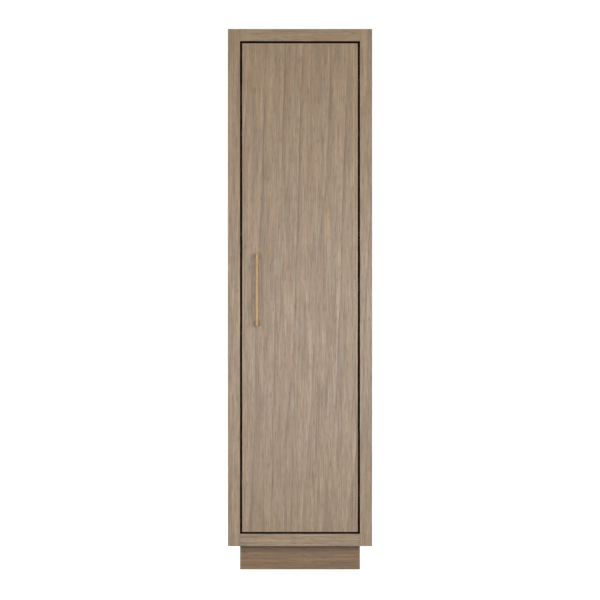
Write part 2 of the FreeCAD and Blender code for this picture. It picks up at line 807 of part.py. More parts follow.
# Door stops on the left side, with bumpers that the closed door rests on
bumpers = []
for stop, z in (("lower", "stop_low"), ("upper", "stop_high")):
    stop_x = ("-inner_half", "stop_overlap - door_half")
    stop_y = ("stop_front", "stop_front + stop_depth")
    stop_board = block(f"door_stop_{stop}_board", stop_x, stop_y, about(z, "stop_height / 2"))
    rounded = eased(f"door_stop_{stop}", stop_board, around("right"))
    subpart(rounded)
    bumper_place = ("stop_overlap / 2 - door_half", z)
    bumpers.append(rod(f"bumper_{stop}", "y", "bumper_radius", ("door_back", "stop_front"), bumper_place))
subpart(group("door_bumpers", bumpers))


# Door pull: a round bar held by two posts, each screwed from inside the door
def end_edges(shape):
    """The numbers of the round edges at the ends of a bar."""
    return [number for number, edge in enumerate(shape.Edges, 1) if edge.Closed]


bar_ends = about("pull_middle", "pull_length / 2")
bar = rod("pull_bar_blank", "z", "pull_bar_radius", bar_ends, ("pull_across", "pull_bar_back"))
doc.recompute()
pull_bar = doc.addObject("Part::Chamfer", "pull_bar")
pull_bar.Base = bar
chamfer = size("pull_bar_chamfer")
pull_bar.Edges = [(number, chamfer, chamfer) for number in end_edges(bar.Shape)]
subpart(pull_bar)

pull_screws = []
for post, toward in (("lower", -1), ("upper", 1)):
    post_z = f"pull_middle + {toward} * pull_post_offset"
    screw = pan_screw(
        f"pull_screw_{post}", "y", 1, "door_back", ("pull_across", post_z), "pull_screw",
        "door_thickness + pull_screw_bite")
    pull_screws.append(screw)
    post_x = about("pull_across", "pull_post_width / 2")
    post_board = block(
        f"pull_post_{post}_board", post_x, ("pull_bar_back", "front"), about(post_z, "pull_post_height / 2"))
    soft_post = eased(f"pull_post_{post}_eased", post_board, around("front"), "pull_post_ease")
    subpart(cut(f"pull_post_{post}", soft_post, [bar, screw]))
pull_screw_group = subpart(group("pull_screws", pull_screws))


# Door
door_height = ("door_bottom", "door_top")
door_board = block("door_board", ("-door_half", "door_half"), ("front", "door_back"), door_height)
door_soft = eased("door_eased", door_board, around("front"))
subpart(cut("door_panel", door_soft, cup_recesses + [cup_screw_group, pull_screw_group]))

doc.recompute()
for thing in doc.Objects:
    if "Invalid" in thing.State or "Error" in thing.State:
        raise RuntimeError(f"{thing.Label} failed: {thing.State}")
for piece in subparts:
    if piece.Shape.isNull() or not piece.Shape.isValid():
        raise RuntimeError(f"{piece.Label} has no valid shape")

os.makedirs("parts", exist_ok=True)
for piece in subparts:
    piece.Shape.exportStep(f"parts/{piece.Label}.step")
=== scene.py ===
# The looks of a tall oak cabinet with one door: finishes, fittings, studio and camera, in metres
import math

import bmesh
import bpy
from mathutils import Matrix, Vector


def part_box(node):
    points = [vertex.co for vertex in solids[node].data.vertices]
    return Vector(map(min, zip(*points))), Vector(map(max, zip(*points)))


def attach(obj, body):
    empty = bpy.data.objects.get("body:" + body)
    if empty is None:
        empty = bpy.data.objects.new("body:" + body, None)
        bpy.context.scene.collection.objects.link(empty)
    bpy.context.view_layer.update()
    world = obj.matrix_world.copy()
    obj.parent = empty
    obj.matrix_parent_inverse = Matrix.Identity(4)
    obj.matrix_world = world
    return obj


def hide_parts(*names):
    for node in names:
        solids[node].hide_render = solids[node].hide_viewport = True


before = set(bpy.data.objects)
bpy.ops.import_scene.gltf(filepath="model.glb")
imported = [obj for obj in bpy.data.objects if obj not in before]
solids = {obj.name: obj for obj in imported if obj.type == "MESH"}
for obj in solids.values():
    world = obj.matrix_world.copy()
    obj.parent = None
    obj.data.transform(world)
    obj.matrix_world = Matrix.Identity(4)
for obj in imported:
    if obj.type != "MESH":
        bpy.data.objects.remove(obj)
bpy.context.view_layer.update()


# Shader nodes

NOISE_SPAN = (0.3, 0.7)


def new_finish(name):
    """A new material with its node tree and its surface shader."""
    finish = bpy.data.materials.new(name)
    finish.use_nodes = True
    tree = finish.node_tree
    return finish, tree, tree.nodes["Principled BSDF"]


def fill(tree, socket, value):
    """Set a socket, or link it where the value is another node's output."""
    if isinstance(value, bpy.types.NodeSocket):
        tree.links.new(value, socket)
    else:
        socket.default_value = value


def add(tree, kind, **sockets):
    """A shader node of one kind, with its named sockets filled."""
    node = tree.nodes.new("ShaderNode" + kind)
    for name, value in sockets.items():
        fill(tree, node.inputs[name.replace("_", " ")], value)
    return node


def stretched(tree, vector, repeats):
    """Coordinates drawn out along Z, by the repeats a metre across and along."""
    across, along = repeats
    return add(tree, "Mapping", Vector=vector, Scale=(across, across, along)).outputs["Vector"]


def noise(tree, vector, repeats, detail=2.0, roughness=0.5):
    """Soft noise, most of it within the noise span, by its repeats a metre across and along Z."""
    place = stretched(tree, vector, repeats)
    return add(tree, "TexNoise", Vector=place, Scale=1.0, Detail=detail, Roughness=roughness).outputs["Fac"]


def spread(tree, value, span, to):
    """A value taken from one span to another and held at its ends."""
    node = add(tree, "MapRange", Value=value, From_Min=span[0], From_Max=span[1], To_Min=to[0], To_Max=to[1])
    return node.outputs["Result"]


def arithmetic(tree, operation, *numbers):
    """One number worked out from two or three."""
    node = tree.nodes.new("ShaderNodeMath")
    node.operation = operation
    for socket, number in zip(node.inputs, numbers):
        fill(tree, socket, number)
    return node.outputs["Value"]


def mixed(tree, share, under, over, mode="MIX"):
    """One colour laid over another."""
    node = tree.nodes.new("ShaderNodeMix")
    node.data_type = "RGBA"
    node.blend_type = mode
    for socket in node.inputs:
        if socket.enabled and socket.name == "Factor":
            fill(tree, socket, share)
        elif socket.enabled and socket.name == "A":
            fill(tree, socket, under)
        elif socket.enabled and socket.name == "B":
            fill(tree, socket, over)
    return next(socket for socket in node.outputs if socket.enabled)


def shaded(tree, colour, shade):
    """A colour multiplied by a shade or a tint."""
    return mixed(tree, 1.0, colour, shade, "MULTIPLY")


def ramp(tree, value, stops):
    """A colour read from a few stops."""
    node = add(tree, "ValToRGB", Fac=value)
    elements = node.color_ramp.elements
    elements[0].position, elements[0].color = stops[0]
    elements[1].position, elements[1].color = stops[-1]
    for position, colour in stops[1:-1]:
        elements.new(position).color = colour
    return node.outputs["Color"]


def rough_bump(tree, shader, height, strength, depth):
    """Raise the surface by a height between 0 and 1."""
    bump = add(tree, "Bump", Strength=strength, Distance=depth, Height=height)
    fill(tree, shader.inputs["Normal"], bump.outputs["Normal"])


# Oak: colours of the grain

OAK_LINE = (0.275, 0.178, 0.107, 1)
OAK_PLAIN = (0.352, 0.246, 0.152, 1)
OAK_PALE = (0.402, 0.289, 0.195, 1)
OAK_PORE = (0.170, 0.105, 0.062, 1)
OAK_PINK = (1.04, 0.985, 0.95, 1)
OAK_GREY = (0.97, 1.01, 1.04, 1)
GROWTH_RING = (
    (0.0, OAK_LINE), (0.04, OAK_LINE), (0.2, OAK_PLAIN), (0.72, OAK_PLAIN), (0.94, OAK_PALE), (1.0, OAK_PALE))

# Oak: stains and painted shade, which multiply those colours

PLAIN_TONE = (1, 1, 1, 1)
# Partly a darker, warmer stain and partly painted shade: the recessed plinth is darkened as if shaded by the
# carcass above it
PLINTH_SHADE_AND_STAIN = (0.755, 0.63, 0.485, 1)
# Painted shade: a dark brown laid on the edges round the door's gap, where shade falls
GAP_PAINTED_SHADE = (0.38, 0.27, 0.20, 1)
STOP_STAIN = (0.08, 0.07, 0.06, 1)
SOFTWOOD_TONE = (1.36, 1.29, 1.13, 1)
BEECH_TONE = (1.44, 1.29, 1.07, 1)

# Oak: roughness of the lacquer at the finest and at the coarsest grain

SATIN = (0.48, 0.36)
MATT = (0.74, 0.62)

# Oak: repeats of the grain a metre, across and along

DRIFT = (9, 0.45)
LINE_FADE = (16, 4)
BROAD_STREAK = (70, 2.4)
FINE_STREAK = (300, 11)
CLOUD = (90, 7)
PORE = (400, 32)
PIT = (1500, 55)
RING_STRETCH = (1, 0.3)

# Oak: how far each of these goes

DRIFT_REACH = 0.022
GRAIN_SLANT = math.radians(-2.2)
LINE_SPAN = (0.35, 0.6)
FAINT_LINE = 0.2
FULL_LINE = 1.1
BROAD_SHADE = (0.82, 1.18)
FINE_SHADE = (0.76, 1.24)
CLOUD_SPAN = (0.35, 0.65)
PORE_SPAN = (0.54, 0.70)
PORE_SHARE = (0.0, 0.6)
PIT_SPAN = (0.6, 0.72)
PIT_SHARE = (0.0, 0.55)
GRAIN_BUMP = 0.2
GRAIN_DEPTH = 0.0003

# Oak: where the painted shade in the gap round the door goes, on a line halfway between the door and its
# opening

EDGE_EASE = 0.0006
DOOR_LOW, DOOR_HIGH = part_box("door_panel")
OPENING_HIGH = Vector((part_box("frame_stile_right")[0].x, DOOR_HIGH.y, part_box("frame_rail_top")[0].z))
GAP_MIDDLE = (DOOR_LOW + DOOR_HIGH) / 2
GAP_LINE = (DOOR_HIGH + OPENING_HIGH) / 2 - GAP_MIDDLE
GAP_REACH = (OPENING_HIGH.x - DOOR_HIGH.x) / 2 + EDGE_EASE

# The wave texture's own wave length at a scale of 1

WAVE_LENGTH = math.pi / 10


def grain_place(tree, along, across, cut):
    """Coordinates with the grain along Z, the sheet's width along X and its thickness along Y."""
    place = add(tree, "SeparateXYZ", Vector=add(tree, "TexCoord").outputs["Object"])
    through = next(axis for axis in "XYZ" if axis not in (along, across))
    turned = add(
        tree, "CombineXYZ", X=place.outputs[across], Y=place.outputs[through], Z=place.outputs[along])
    return add(tree, "Mapping", Vector=turned.outputs["Vector"], Location=cut).outputs["Vector"]


def growth_lines(tree, grain, ring_width, figure):
    """Plain oak with growth lines that slant, wander and fade."""
    drift = spread(tree, noise(tree, grain, DRIFT, detail=1), NOISE_SPAN, (-DRIFT_REACH, DRIFT_REACH))
    drifted = add(tree, "CombineXYZ", X=drift).outputs["Vector"]
    slanted = add(tree, "Mapping", Vector=grain, Rotation=(0, GRAIN_SLANT, 0)).outputs["Vector"]
    wandering = add(tree, "VectorMath", Vector=slanted)
    fill(tree, wandering.inputs[1], drifted)
    rings = add(
        tree, "TexWave", Vector=stretched(tree, wandering.outputs["Vector"], RING_STRETCH),
        Scale=WAVE_LENGTH / ring_width, Distortion=1.0, Detail=3.0, Detail_Scale=1.6, Detail_Roughness=0.5)
    rings.wave_profile = "SAW"
    line_share = (FAINT_LINE * figure, FULL_LINE * figure)
    strength = spread(tree, noise(tree, grain, LINE_FADE), LINE_SPAN, line_share)
    return mixed(tree, strength, OAK_PLAIN, ramp(tree, rings.outputs["Fac"], GROWTH_RING))


def painted_gap_shade(tree, colour):
    """The colour darkened by painted shade on the edges at the door's gap and on their eased corners."""
    place = add(tree, "TexCoord").outputs["Object"]
    from_middle = add(tree, "Mapping", Vector=place, Location=-GAP_MIDDLE)
    either_side = add(tree, "VectorMath", Vector=from_middle.outputs["Vector"])
    either_side.operation = "ABSOLUTE"
    past_line = add(tree, "VectorMath", Vector=either_side.outputs["Vector"])
    past_line.operation = "SUBTRACT"
    fill(tree, past_line.inputs[1], GAP_LINE)
    past = add(tree, "SeparateXYZ", Vector=past_line.outputs["Vector"])
    from_line = arithmetic(tree, "MAXIMUM", past.outputs["X"], past.outputs["Z"])
    edge_share = arithmetic(tree, "COMPARE", from_line, 0.0, GAP_REACH)
    return mixed(tree, edge_share, colour, shaded(tree, colour, GAP_PAINTED_SHADE))


def timber(name, along, across, cut, ring_width, figure, tone=PLAIN_TONE, with_gap_shade=False, sheen=SATIN):
    """Lacquered oak, or another wood through its tone, with its grain along one axis.

    The cut says where in the log the sheet comes from, the ring width how far apart the growth lines lie, the
    figure how strongly they show, the tone what colour the stain gives it, on the plinth with painted shade,
    and the sheen how rough it is. A piece at the door's gap gets painted shade, a dark brown on its edges
    there.
    """
    finish, tree, shader = new_finish(name)
    grain = grain_place(tree, along, across, cut)
    colour = growth_lines(tree, grain, ring_width, figure)
    broad_streaks = noise(tree, grain, BROAD_STREAK, detail=3, roughness=0.6)
    colour = shaded(tree, colour, spread(tree, broad_streaks, NOISE_SPAN, BROAD_SHADE))
    fine_streaks = noise(tree, grain, FINE_STREAK, detail=4, roughness=0.65)
    colour = shaded(tree, colour, spread(tree, fine_streaks, NOISE_SPAN, FINE_SHADE))
    clouds = spread(tree, noise(tree, grain, CLOUD), CLOUD_SPAN, (0, 1))
    colour = shaded(tree, colour, mixed(tree, clouds, OAK_PINK, OAK_GREY))
    pore_share = spread(tree, noise(tree, grain, PORE), PORE_SPAN, PORE_SHARE)
    colour = mixed(tree, pore_share, colour, OAK_PORE)
    pit_share = spread(tree, noise(tree, grain, PIT, detail=1), PIT_SPAN, PIT_SHARE)
    colour = mixed(tree, pit_share, colour, OAK_PORE)
    colour = shaded(tree, colour, tone)
    # Painted shade on the edges at the door's gap
    if with_gap_shade:
        colour = painted_gap_shade(tree, colour)

    fill(tree, shader.inputs["Base Color"], colour)
    fill(tree, shader.inputs["Roughness"], spread(tree, fine_streaks, NOISE_SPAN, sheen))
    hollows = arithmetic(tree, "ADD", pore_share, pit_share)
    rough_bump(tree, shader, arithmetic(tree, "SUBTRACT", fine_streaks, hollows), GRAIN_BUMP, GRAIN_DEPTH)
    return finish


def wear(nodes, finish):
    """Give CAD pieces a finish."""
    for name in nodes:
        for slot in solids[name].material_slots:
            slot.material = finish


def named(*starts):
    """The CAD pieces whose names start with one of these words."""
    return [name for name in sorted(solids) if name.startswith(starts)]


SHELVES = ["shelf_fixed", "shelf_lower", "shelf_middle", "shelf_upper"]
wear(["door_panel"], timber(
    "oak_door", "Z", "X", cut=(0.31, 0.0, 0.4), ring_width=0.063, figure=0.75, with_gap_shade=True))
wear(named("frame_stile"), timber(
    "oak_stile", "Z", "X", cut=(2.0, 0.0, 3.0), ring_width=0.03, figure=0.5, with_gap_shade=True))
wear(["frame_rail_top"], timber(
    "oak_top_rail", "X", "Z", cut=(3.0, 0.0, 5.0), ring_width=0.03, figure=0.4, with_gap_shade=True))
wear(["frame_rail_bottom"], timber(
    "oak_bottom_rail", "X", "Z", cut=(3.5, 0.0, 5.6), ring_width=0.03, figure=0.4))
wear(named("side_panel"), timber(
    "oak_side", "Z", "Y", cut=(5.0, 1.0, 0.2), ring_width=0.07, figure=0.8))
wear(["top_panel"], timber(
    "oak_top", "X", "Y", cut=(7.0, 2.0, 1.0), ring_width=0.06, figure=0.9))
# The plinth's tone holds painted shade as well as its stain
wear(["plinth_front"], timber(
    "oak_plinth_front", "X", "Z", cut=(4.0, 1.0, 2.0), ring_width=0.03, figure=0.7, tone=PLINTH_SHADE_AND_STAIN))
wear(named("plinth_side"), timber(
    "oak_plinth_side", "Y", "Z", cut=(6.0, 1.0, 2.0), ring_width=0.03, figure=0.7, tone=PLINTH_SHADE_AND_STAIN))
wear(SHELVES + ["bottom_panel"], timber(
    "oak_shelf", "X", "Y", cut=(1.0, 3.0, 2.0), ring_width=0.055, figure=0.8, sheen=MATT))
wear(["wall_rail"], timber(
    "oak_wall_rail", "X", "Z", cut=(1.0, 6.0, 2.0), ring_width=0.04, figure=0.6, sheen=MATT))
wear(named("hinge_block"), timber(
    "oak_hinge_block", "Z", "Y", cut=(8.0, 3.0, 2.0), ring_width=0.02, figure=0.6, sheen=MATT))
wear(named("door_stop"), timber(
    "oak_door_stop", "Z", "X", cut=(8.0, 5.0, 2.0), ring_width=0.02, figure=0.6, tone=STOP_STAIN, sheen=MATT))
wear(["back_panel"], timber(
    "oak_back_board", "Z", "X", cut=(9.0, 3.0, 2.0), ring_width=0.08, figure=0.75, sheen=MATT))
wear(["plinth_rear"], timber(
    "softwood_board", "X", "Z", cut=(9.0, 5.0, 2.0), ring_width=0.012, figure=1.2, tone=SOFTWOOD_TONE,
    sheen=MATT))
wear(named("plinth_block"), timber(
    "softwood_block", "Z", "X", cut=(9.5, 5.0, 2.0), ring_width=0.012, figure=1.2, tone=SOFTWOOD_TONE,
    sheen=MATT))
wear(named("frame_dowel", "panel_dowel"), timber(
    "beech", "X", "Z", cut=(9.0, 7.0, 2.0), ring_width=0.004, figure=0.3, tone=BEECH_TONE, sheen=MATT))


# Metals and rubber

TARNISH = (90, 40)
TARNISH_SHADE = (0.93, 1.04)
SCRATCH_SHADE = (0.88, 1.08)
SCRATCH_ROUGHNESS = 0.08
SCRATCH_BUMP = 0.12
SCRATCH_DEPTH = 0.0001
DUST = (60, 60)
DUST_SHADE = (0.85, 1.25)
CLEAN_ROUGHNESS = -0.06
DUSTY_ROUGHNESS = 0.1
SKIN_BUMP = 0.25


def brushed_metal(name, colour, roughness, scratches):
    """Metal with fine scratches, by their repeats a metre across and up, and a faint tarnish."""
    finish, tree, shader = new_finish(name)
    place = add(tree, "TexCoord").outputs["Object"]
    brushing = noise(tree, place, scratches, detail=3, roughness=0.6)
    tarnish = noise(tree, place, TARNISH, detail=3)
    scratched = shaded(tree, colour, spread(tree, brushing, NOISE_SPAN, SCRATCH_SHADE))
    tarnished = shaded(tree, scratched, spread(tree, tarnish, NOISE_SPAN, TARNISH_SHADE))
    fill(tree, shader.inputs["Base Color"], tarnished)
    shader.inputs["Metallic"].default_value = 1.0
    fill(tree, shader.inputs["Roughness"], spread(
        tree, brushing, NOISE_SPAN, (roughness - SCRATCH_ROUGHNESS, roughness + SCRATCH_ROUGHNESS)))
    rough_bump(tree, shader, brushing, SCRATCH_BUMP, SCRATCH_DEPTH)
    return finish


def coated(name, colour, roughness, bumps, depth, clear=0.0):
    """A smooth coat or rubber with a faint skin of bumps, so many a metre, and a little dust."""
    finish, tree, shader = new_finish(name)
    place = add(tree, "TexCoord").outputs["Object"]
    skin = noise(tree, place, (bumps, bumps))
    dust = noise(tree, place, DUST, detail=4)
    fill(tree, shader.inputs["Base Color"], shaded(tree, colour, spread(tree, dust, NOISE_SPAN, DUST_SHADE)))
    fill(tree, shader.inputs["Roughness"], spread(
        tree, dust, NOISE_SPAN, (roughness + CLEAN_ROUGHNESS, roughness + DUSTY_ROUGHNESS)))
    shader.inputs["Transmission Weight"].default_value = clear
    rough_bump(tree, shader, skin, SKIN_BUMP, depth)
    return finish


SATIN_BRASS = brushed_metal("satin_brass", (0.77, 0.57, 0.35, 1), roughness=0.72, scratches=(5000, 50))
INSERT_BRASS = brushed_metal("insert_brass", (0.70, 0.52, 0.25, 1), roughness=0.3, scratches=(1500, 4000))
NICKEL = brushed_metal("nickel", (0.62, 0.60, 0.57, 1), roughness=0.3, scratches=(1500, 1500))
ZINC = brushed_metal("zinc", (0.55, 0.57, 0.60, 1), roughness=0.38, scratches=(700, 700))
BLACK_STEEL = coated("black_steel", (0.035, 0.035, 0.037, 1), roughness=0.4, bumps=2500, depth=0.00004)
RUBBER = coated("clear_rubber", (0.62, 0.62, 0.60, 1), roughness=0.5, bumps=1200, depth=0.00003, clear=0.3)
wear(["foot_inserts"], INSERT_BRASS)
wear(named("hinge_pin"), BLACK_STEEL)


# Modelling by hand

MERGE_DISTANCE = 0.000005
ROUND_SIDES = 48
SMOOTH_ANGLE = math.radians(35)


def deselect():
    """Nothing selected, in object mode."""
    if bpy.context.mode != "OBJECT":
        bpy.ops.object.mode_set(mode="OBJECT")
    bpy.ops.object.select_all(action="DESELECT")


def settle(name):
    """Name the piece just added and move its place into its mesh."""
    piece = bpy.context.object
    piece.name = name
    bpy.ops.object.transform_apply(location=True, rotation=True, scale=True)
    return piece


def round_bar(name, radius, low, high, sides=ROUND_SIDES):
    """An upright round bar on the Z axis between two heights."""
    deselect()
    bpy.ops.mesh.primitive_cylinder_add(
        vertices=sides, radius=radius, depth=high - low, location=(0, 0, (low + high) / 2))
    return settle(name)


def block(name, low, high):
    """A square block between two corners."""
    low, high = Vector(low), Vector(high)
    deselect()
    bpy.ops.mesh.primitive_cube_add(size=1, location=(low + high) / 2, scale=high - low)
    return settle(name)


def choose(piece, kind, test):
    """Go into edit mode with the faces or edges selected that pass a test."""
    deselect()
    bpy.context.view_layer.objects.active = piece
    piece.select_set(True)
    bpy.ops.object.mode_set(mode="EDIT")
    bpy.ops.mesh.select_mode(type=kind)
    bpy.ops.mesh.select_all(action="DESELECT")
    mesh = bmesh.from_edit_mesh(piece.data)
    for part in mesh.faces if kind == "FACE" else mesh.edges:
        part.select = test(part)
    mesh.select_flush_mode()
    bmesh.update_edit_mesh(piece.data)


def level_at(*heights):
    """A test for the faces or edges that lie level at one of these heights."""
    return lambda part: any(
        all(abs(corner.co.z - height) < MERGE_DISTANCE for corner in part.verts) for height in heights)


def everything(part):
    """A test that all faces or edges pass."""
    return True


def soften(piece, width, test, segments=3):
    """Round the edges that pass a test."""
    choose(piece, "EDGE", test)
    bpy.ops.mesh.bevel(offset=width, segments=segments, affect="EDGES", clamp_overlap=True)


def grow(step, scale):
    """Extrude the selected level face along Z and scale its new end."""
    bpy.ops.mesh.extrude_region_move(TRANSFORM_OT_translate={"value": (0, 0, step)})
    bpy.ops.transform.resize(value=(scale, scale, 1), center_override=(0, 0, 0))


def cut_away(piece, tool):
    """Cut one piece's shape out of another."""
    deselect()
    bpy.context.view_layer.objects.active = piece
    cut = piece.modifiers.new("cut", "BOOLEAN")
    cut.object = tool
    cut.operation = "DIFFERENCE"
    bpy.ops.object.modifier_apply(modifier=cut.name)
    bpy.data.objects.remove(tool)


def clean(piece):
    """Merge doubled corners, turn the normals out and smooth the round faces."""
    choose(piece, "FACE", everything)
    bpy.ops.mesh.remove_doubles(threshold=MERGE_DISTANCE)
    bpy.ops.mesh.normals_make_consistent(inside=False)
    deselect()
    piece.select_set(True)
    bpy.context.view_layer.objects.active = piece
    bpy.ops.object.shade_smooth_by_angle(angle=SMOOTH_ANGLE)
    return piece


def loose_parts(node):
    """The lowest and highest corner of each loose part of a CAD piece."""
    mesh = bmesh.new()
    mesh.from_mesh(solids[node].data)
    bmesh.ops.remove_doubles(mesh, verts=mesh.verts, dist=MERGE_DISTANCE)
    unseen = set(mesh.verts)
    boxes = []
    while unseen:
        waiting = [unseen.pop()]
        part = []
        while waiting:
            corner = waiting.pop()
            part.append(corner.co.copy())
            for edge in corner.link_edges:
                other = edge.other_vert(corner)
                if other in unseen:
                    unseen.remove(other)
                    waiting.append(other)
        boxes.append((
            Vector(min(corner[axis] for corner in part) for axis in range(3)),
            Vector(max(corner[axis] for corner in part) for axis in range(3))))
    mesh.free()
    return sorted(boxes, key=lambda box: tuple(box[0] + box[1]))


def copy_to(pattern, place, facing):
    """A copy of a piece modelled upright at the origin, set at a place with its top facing one way."""
    deselect()
    bpy.context.view_layer.objects.active = pattern
    pattern.select_set(True)
    bpy.ops.object.duplicate(linked=False)
    copy = bpy.context.object
    copy.location = place
    copy.rotation_euler = Vector((0, 0, 1)).rotation_difference(Vector(facing)).to_euler()
    bpy.ops.object.transform_apply(location=True, rotation=True, scale=True)
    return copy


def joined(name, copies):
    """Several copies as one piece."""
    deselect()
    for copy in copies:
        copy.select_set(True)
    bpy.context.view_layer.objects.active = copies[0]
    if len(copies) > 1:
        bpy.ops.object.join()
    copies[0].name = name
    return copies[0]


def fit(piece, body, slot, finish, *nodes):
    """Set a piece on its body in place of CAD pieces, in its finish."""
    deselect()
    piece.data.materials.clear()
    piece.data.materials.append(finish)
    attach(piece, body)
    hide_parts(*nodes)


# Pull

BAR_END_ROUND = 0.0012
FOOT_NECK = 0.62
FOOT_ROUND = 0.0009
FACING_FRONT = -0.9


def pull_bar():
    """The round bar of the pull with its ends eased."""
    low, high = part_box("pull_bar")
    radius = (high.x - low.x) / 2
    length = high.z - low.z
    bar = round_bar("bar", radius, 0, length)
    soften(bar, BAR_END_ROUND, level_at(0, length), segments=4)
    clean(bar)
    middle = (low + high) / 2
    placed = copy_to(bar, (middle.x, middle.y, low.z), (0, 0, 1))
    bpy.data.objects.remove(bar)
    placed.name = "brass_pull_bar"
    fit(placed, "door", "satin_brass", SATIN_BRASS, "pull_bar")


def pull_foot(end):
    """A foot of the pull: wide on the door and narrowing to the bar."""
    low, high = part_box("pull_post_" + end)
    foot = block("brass_pull_foot_" + end, low, high)
    choose(foot, "FACE", lambda face: face.normal.y < FACING_FRONT)
    bpy.ops.transform.resize(value=(FOOT_NECK, 1, 1), center_override=((low.x + high.x) / 2, low.y, low.z))
    soften(foot, FOOT_ROUND, everything)
    clean(foot)
    fit(foot, "door", "satin_brass", SATIN_BRASS, "pull_post_" + end)


# Screws: shares of the head for its recess and dome, and of the shank for its point

RECESS_LENGTH = 1.25
RECESS_WIDTH = 0.26
RECESS_DEPTH = 0.65
HEAD_DOME = 0.6
POINT_WIDTH = 0.3
POINT_LENGTH = 0.2

# Screws: heights of heads and radii of shanks

SCREW_RIM = 0.0002
THICK_HEAD = 0.0025
THIN_HEAD = 0.002
COUNTERSUNK = 0
THIN_SHANK = 0.00175
MIDDLE_SHANK = 0.002
THICK_SHANK = 0.0025


def cross_recess(screw, head_radius, top, depth):
    """Cut the cross for the driver into the top of a screw's head."""
    for across, along in ((RECESS_LENGTH, RECESS_WIDTH), (RECESS_WIDTH, RECESS_LENGTH)):
        half = Vector((across, along, 0)) * head_radius / 2
        low = -half + Vector((0, 0, top - depth))
        cut_away(screw, block("recess", low, half + Vector((0, 0, top + depth))))


def pan_screw(head_radius, head_height, shank_radius, shank_length):
    """An upright screw with a domed head that sits on z = 0."""
    screw = round_bar("pan_screw", head_radius, 0, head_height)
    soften(screw, head_height * HEAD_DOME, level_at(head_height), segments=5)
    choose(screw, "FACE", level_at(0))
    grow(0, shank_radius / head_radius)
    grow(-shank_length * (1 - POINT_LENGTH), 1)
    grow(-shank_length * POINT_LENGTH, POINT_WIDTH)
    cross_recess(screw, head_radius, head_height, head_height * RECESS_DEPTH)
    return clean(screw)


def flat_screw(head_radius, shank_radius, length):
    """An upright screw whose countersunk head ends level at z = 0."""
    head_height = head_radius - shank_radius
    shank_length = length - head_height
    screw = round_bar("flat_screw", head_radius, -SCREW_RIM, 0)
    choose(screw, "FACE", level_at(-SCREW_RIM))
    grow(-head_height, shank_radius / head_radius)
    grow(-shank_length * (1 - POINT_LENGTH), 1)
    grow(-shank_length * POINT_LENGTH + SCREW_RIM, POINT_WIDTH)
    cross_recess(screw, head_radius, 0, head_height * RECESS_DEPTH)
    return clean(screw)


def set_screws(name, node, facing, head_height, shank_radius, body, slot, finish):
    """A screw in the place of each one in a CAD piece, all as one piece. No head height means countersunk."""
    facing = Vector(facing)
    parts = loose_parts(node)
    extent = parts[0][1] - parts[0][0]
    length = abs(facing.dot(extent))
    head_radius = max(extent[axis] for axis in range(3) if not facing[axis]) / 2
    if head_height:
        pattern = pan_screw(head_radius, head_height, shank_radius, length - head_height)
    else:
        pattern = flat_screw(head_radius, shank_radius, length)
    copies = []
    for low, high in parts:
        copies.append(copy_to(pattern, (low + high) / 2 + facing * (length / 2 - head_height), facing))
    bpy.data.objects.remove(pattern)
    fit(joined(name, copies), body, slot, finish, node)


# Levelling feet

CORNERS = ("front_left", "front_right", "rear_left", "rear_right")
THREAD_PITCH = 0.00125
THREAD_DEPTH = 0.0005
PAD_HEIGHT = 0.008
PAD_ROUND = 0.0012
COLLAR_RADIUS = 0.0085
COLLAR_HEIGHT = 0.006
STUD_RADIUS = 0.004
GRIP_DEPTH = 0.0006
HEXAGON = 6
FACING_UP = 0.9
FACING_OUT = 0.5


def grip_face(face):
    """A test for every other face round the rim of a foot's pad."""
    turn = math.atan2(face.normal.y, face.normal.x) / math.tau % 1
    return abs(face.normal.z) < FACING_OUT and int(turn * ROUND_SIDES) % 2 == 0


def foot_pattern(pad_radius, height):
    """A levelling foot standing at the origin: a ribbed pad, a spanner's hexagon and a threaded stud."""
    foot = round_bar("foot", pad_radius, 0, PAD_HEIGHT)
    choose(foot, "FACE", grip_face)
    bpy.ops.mesh.inset(thickness=GRIP_DEPTH, depth=-GRIP_DEPTH, use_individual=True)
    soften(foot, PAD_ROUND, level_at(0, PAD_HEIGHT))
    choose(foot, "FACE", lambda face: face.normal.z > FACING_UP and face.calc_area() > STUD_RADIUS ** 2)
    inner = max(corner.co.xy.length for face in bmesh.from_edit_mesh(foot.data).faces if face.select
                for corner in face.verts)
    grow(0, STUD_RADIUS / inner)
    turns = int((height - PAD_HEIGHT) / THREAD_PITCH)
    groove = (STUD_RADIUS - THREAD_DEPTH) / STUD_RADIUS
    for turn in range(turns):
        grow(THREAD_PITCH / 2, groove)
        grow(THREAD_PITCH / 2, 1 / groove)
    grow(height - PAD_HEIGHT - turns * THREAD_PITCH, groove)
    collar_top = PAD_HEIGHT + COLLAR_HEIGHT
    collar = round_bar("collar", COLLAR_RADIUS, PAD_HEIGHT - PAD_ROUND, collar_top, HEXAGON)
    soften(collar, PAD_ROUND / 2, level_at(collar_top))
    return joined("foot", [clean(foot), clean(collar)])


def levelling_feet():
    """Four feet, each on its own body."""
    low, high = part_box("levelling_foot_front_left")
    pattern = foot_pattern((high.x - low.x) / 2, high.z - low.z)
    for corner in CORNERS:
        low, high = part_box("levelling_foot_" + corner)
        middle = (low + high) / 2
        foot = copy_to(pattern, (middle.x, middle.y, low.z), (0, 0, 1))
        foot.name = "threaded_foot_" + corner
        fit(foot, "foot_" + corner, "zinc_steel", ZINC, "levelling_foot_" + corner)
    bpy.data.objects.remove(pattern)


# Shelf pegs and bumpers

PEG_SHANK = 0.010
PEG_FIT = 0.98
PEG_COLLAR_RADIUS = 0.0036
PEG_COLLAR = 0.0008
PEG_TIP_ROUND = 0.003
PEG_EDGE_ROUND = 0.0005
SHARP_EDGE = 0.5
BUMPER_DOME = 0.75


